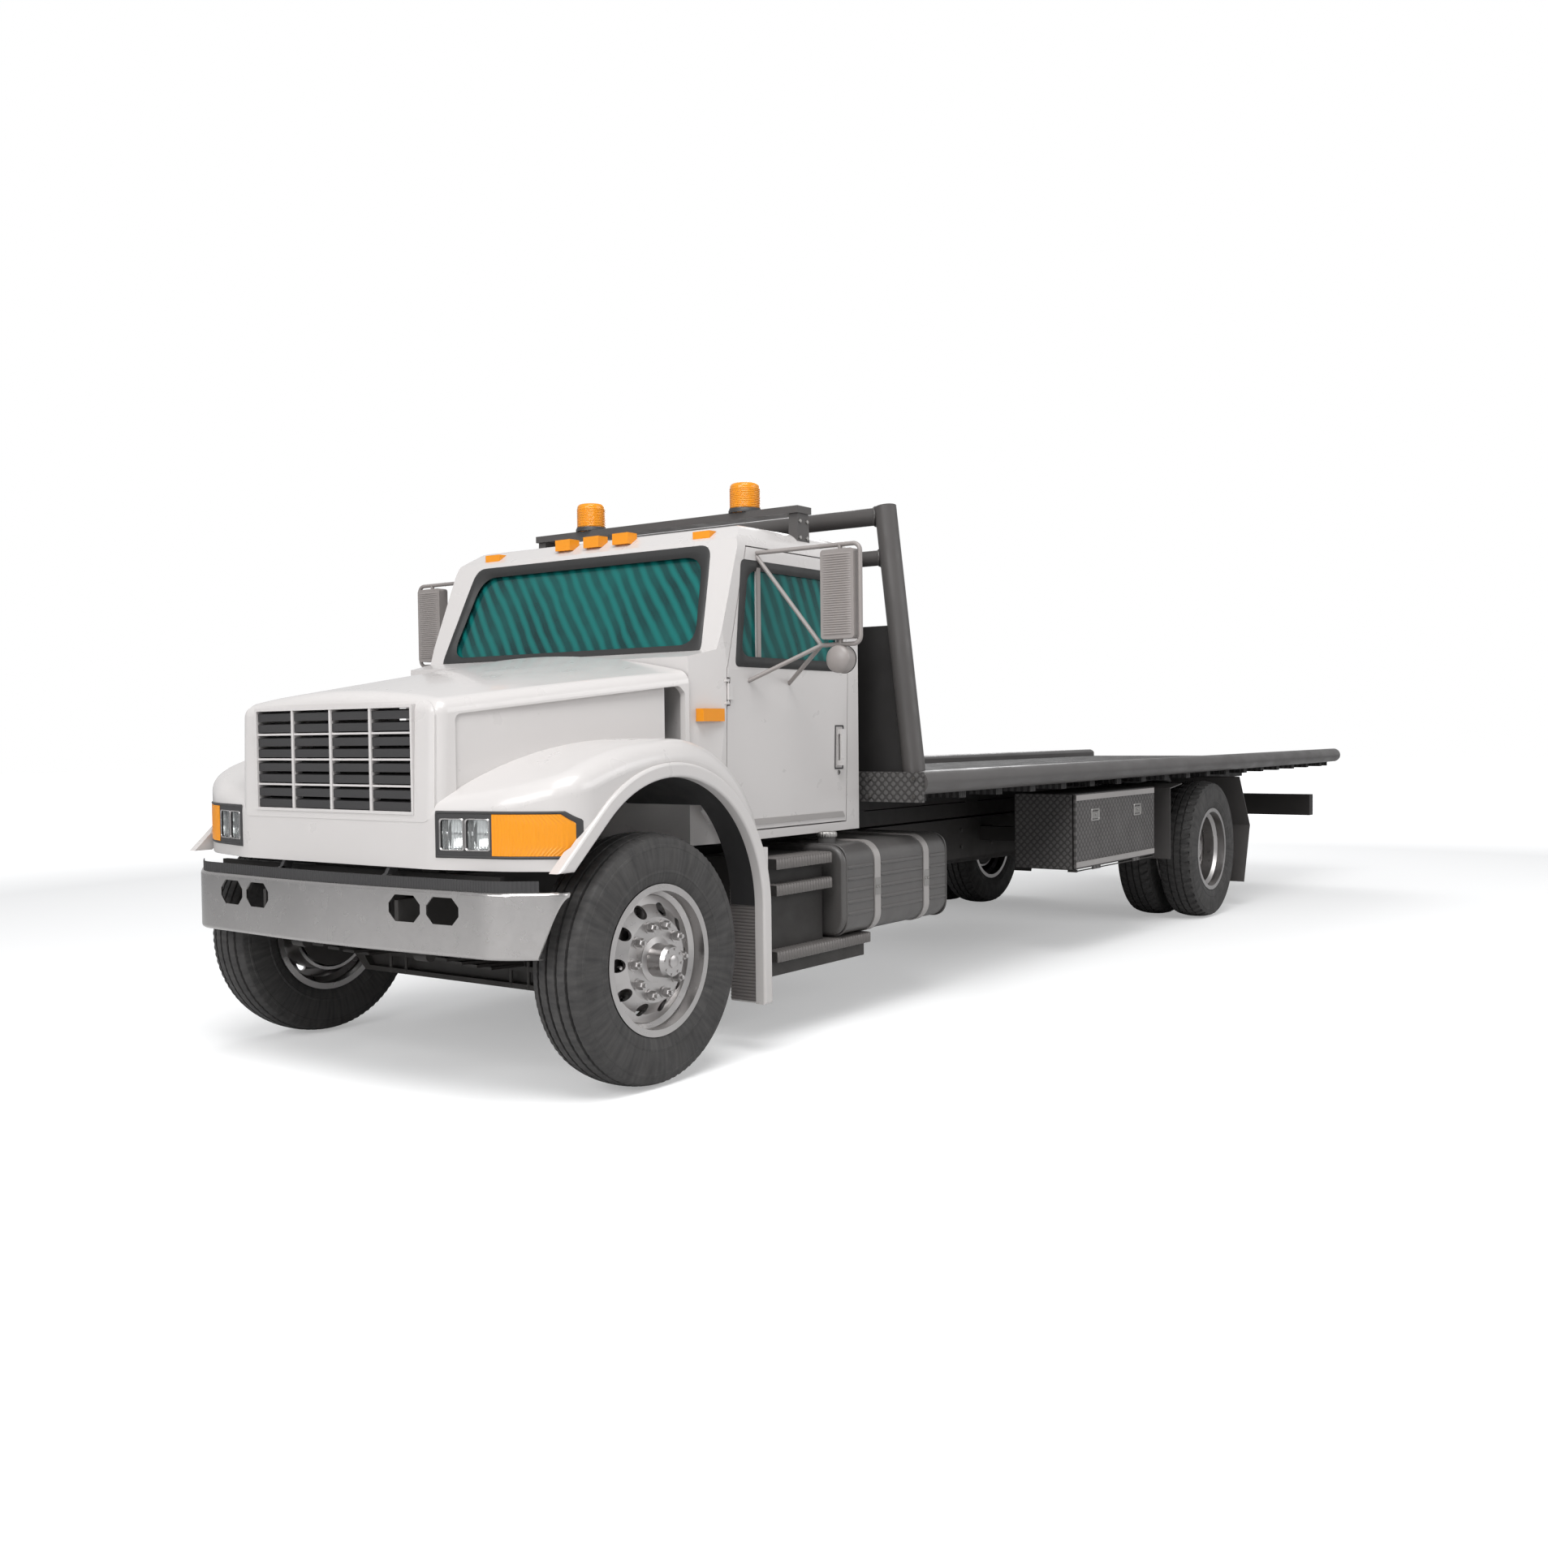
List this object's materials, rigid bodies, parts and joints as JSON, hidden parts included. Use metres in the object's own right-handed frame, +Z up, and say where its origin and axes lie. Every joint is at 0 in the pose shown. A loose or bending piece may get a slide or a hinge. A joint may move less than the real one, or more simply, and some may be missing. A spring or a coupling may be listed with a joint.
{
  "type": "car transporter",
  "caption": "Conventional-cab truck with a flat sliding and tilting bed, headboard, winch, side toolboxes and roof beacons.",
  "frame": {"origin": "on the ground under the middle of the overall length and width", "axes": "+X forward towards the front bumper, +Y to the truck's left, +Z up"},
  "size_m": [10.3462, 2.92, 2.6603],
  "materials": {
    "white_paint": "gloss",
    "black_paint": "satin",
    "grey_pipe": "satin",
    "bed_plate": "worn satin",
    "polished": "polished",
    "wheel_alloy": "polished",
    "raw_steel": "brushed",
    "cast_iron": "rough",
    "tyre": "matte",
    "dark_plastic": "matte",
    "grey_mirror": "satin",
    "teal_glass": "tinted",
    "lamp_glass": "clear",
    "amber_lens": "gloss",
    "red_lens": "gloss",
    "seat_fabric": "woven",
    "rubber": "matte"
  },
  "bodies": {
    "chassis": {"chassis_frame": "black_paint", "engine_and_radiator": "cast_iron", "front_bumper": "polished", "front_axle": "black_paint", "leaf_springs": "black_paint", "rear_axle": "black_paint", "cab_shell": "white_paint", "cab_glass": "teal_glass", "dashboard": "dark_plastic", "seats": "seat_fabric", "seat_bases": "dark_plastic", "marker_lamps": "amber_lens", "beacon_bar": "grey_pipe", "beacons": "amber_lens", "cab_steps": "black_paint", "fuel_tank": "grey_pipe", "tank_straps": "raw_steel", "exhaust": "raw_steel", "toolbox_left": "black_paint", "toolbox_right": "black_paint", "rear_mudguards": "grey_pipe", "rear_beam": "black_paint", "tail_lamps": "red_lens"},
    "hood": {"hood": "white_paint", "grille": "white_paint", "grille_slats": "dark_plastic", "lamp_housings": "dark_plastic", "headlamps": "lamp_glass", "turn_lamps": "amber_lens", "wheel_liners": "dark_plastic"},
    "tie_rod": {"tie_rod": "raw_steel"},
    "tilt_frame": {"tilt_frame": "black_paint"},
    "bed": {"bed_deck": "bed_plate", "bed_sills": "black_paint", "bed_front_plate": "bed_plate", "bed_rails": "grey_pipe", "headboard": "grey_pipe", "winch_frame": "black_paint"},
    "winch_drum": {"winch_drum": "raw_steel"},
    "tilt_barrels": {"tilt_barrels": "black_paint"},
    "tilt_rods": {"tilt_rods": "polished"},
    "knuckle_left": {"knuckle_left": "black_paint"},
    "wheel_front_left": {"front_wheel_left": "wheel_alloy", "front_tyre_left": "tyre"},
    "wheel_rear_left": {"rear_wheels_left": "wheel_alloy", "rear_tyres_left": "tyre"},
    "door_left": {"door_left": "white_paint", "door_glass_left": "teal_glass", "mirror_left": "grey_mirror"},
    "toolbox_lid_left": {"toolbox_door_left": "black_paint"},
    "knuckle_right": {"knuckle_right": "black_paint"},
    "wheel_front_right": {"front_wheel_right": "wheel_alloy", "front_tyre_right": "tyre"},
    "wheel_rear_right": {"rear_wheels_right": "wheel_alloy", "rear_tyres_right": "tyre"},
    "door_right": {"door_right": "white_paint", "door_glass_right": "teal_glass", "mirror_right": "grey_mirror"},
    "toolbox_lid_right": {"toolbox_door_right": "black_paint"}
  },
  "joints": [
    {"name": "hood_tilt", "type": "hinge", "parent": "chassis", "child": "hood", "pos_m": [5.126, 0, 0.862], "axis": [0, 1, 0], "range_deg": [0, 55]},
    {"name": "steer_left", "type": "hinge", "parent": "chassis", "child": "knuckle_left", "pos_m": [4.431, 0.83, 0.51], "axis": [0, 0, 1], "range_deg": [-32, 32]},
    {"name": "steer_right", "type": "hinge", "parent": "chassis", "child": "knuckle_right", "pos_m": [4.431, -0.83, 0.51], "axis": [0, 0, 1], "range_deg": [-32, 32]},
    {"name": "tie_rod_pivot", "type": "hinge", "parent": "knuckle_left", "child": "tie_rod", "pos_m": [4.241, 0.83, 0.401], "axis": [0, 0, 1], "range_deg": [-32, 32]},
    {"name": "bed_tilt", "type": "hinge", "parent": "chassis", "child": "tilt_frame", "pos_m": [-4.619, 0, 0.91], "axis": [0, -1, 0], "range_deg": [0, 14.8]},
    {"name": "bed_slide", "type": "slide", "parent": "tilt_frame", "child": "bed", "axis": [-1, 0, 0], "range_m": [0, 3.3]},
    {"name": "winch_spin", "type": "hinge", "parent": "bed", "child": "winch_drum", "pos_m": [2.101, 0, 1.3395], "axis": [0, 1, 0], "continuous": true},
    {"name": "barrel_swing", "type": "hinge", "parent": "chassis", "child": "tilt_barrels", "pos_m": [-3.869, 0, 0.6], "axis": [0, -1, 0], "range_deg": [0, 23.46]},
    {"name": "rod_slide", "type": "slide", "parent": "tilt_barrels", "child": "tilt_rods", "axis": [0.9806, 0, 0.1961], "range_m": [0, 0.1459]},
    {"name": "wheel_spin_front_left", "type": "hinge", "parent": "knuckle_left", "child": "wheel_front_left", "pos_m": [4.431, 1.037, 0.51], "axis": [0, 1, 0], "continuous": true},
    {"name": "wheel_spin_rear_left", "type": "hinge", "parent": "chassis", "child": "wheel_rear_left", "pos_m": [-1.919, 1.078, 0.51], "axis": [0, 1, 0], "continuous": true},
    {"name": "door_hinge_left", "type": "hinge", "parent": "chassis", "child": "door_left", "pos_m": [3.708, 0.951, 1.4], "axis": [0, 0, -1], "range_deg": [0, 70]},
    {"name": "toolbox_hinge_left", "type": "hinge", "parent": "chassis", "child": "toolbox_lid_left", "pos_m": [-0.729, 1.195, 0.544], "axis": [-1, 0, 0], "range_deg": [0, 90]},
    {"name": "wheel_spin_front_right", "type": "hinge", "parent": "knuckle_right", "child": "wheel_front_right", "pos_m": [4.431, -1.037, 0.51], "axis": [0, 1, 0], "continuous": true},
    {"name": "wheel_spin_rear_right", "type": "hinge", "parent": "chassis", "child": "wheel_rear_right", "pos_m": [-1.919, -1.078, 0.51], "axis": [0, 1, 0], "continuous": true},
    {"name": "door_hinge_right", "type": "hinge", "parent": "chassis", "child": "door_right", "pos_m": [3.708, -0.951, 1.4], "axis": [0, 0, 1], "range_deg": [0, 70]},
    {"name": "toolbox_hinge_right", "type": "hinge", "parent": "chassis", "child": "toolbox_lid_right", "pos_m": [-0.729, -1.195, 0.544], "axis": [1, 0, 0], "range_deg": [0, 90]}
  ],
  "couplings": [
    {"joint": "steer_right", "follows": "steer_left", "ratio": 1},
    {"joint": "tie_rod_pivot", "follows": "steer_left", "ratio": -1},
    {"joint": "barrel_swing", "follows": "bed_tilt", "ratio": 1.572},
    {"joint": "rod_slide", "follows": "bed_tilt", "m_per_rad": 0.55714}
  ]
}
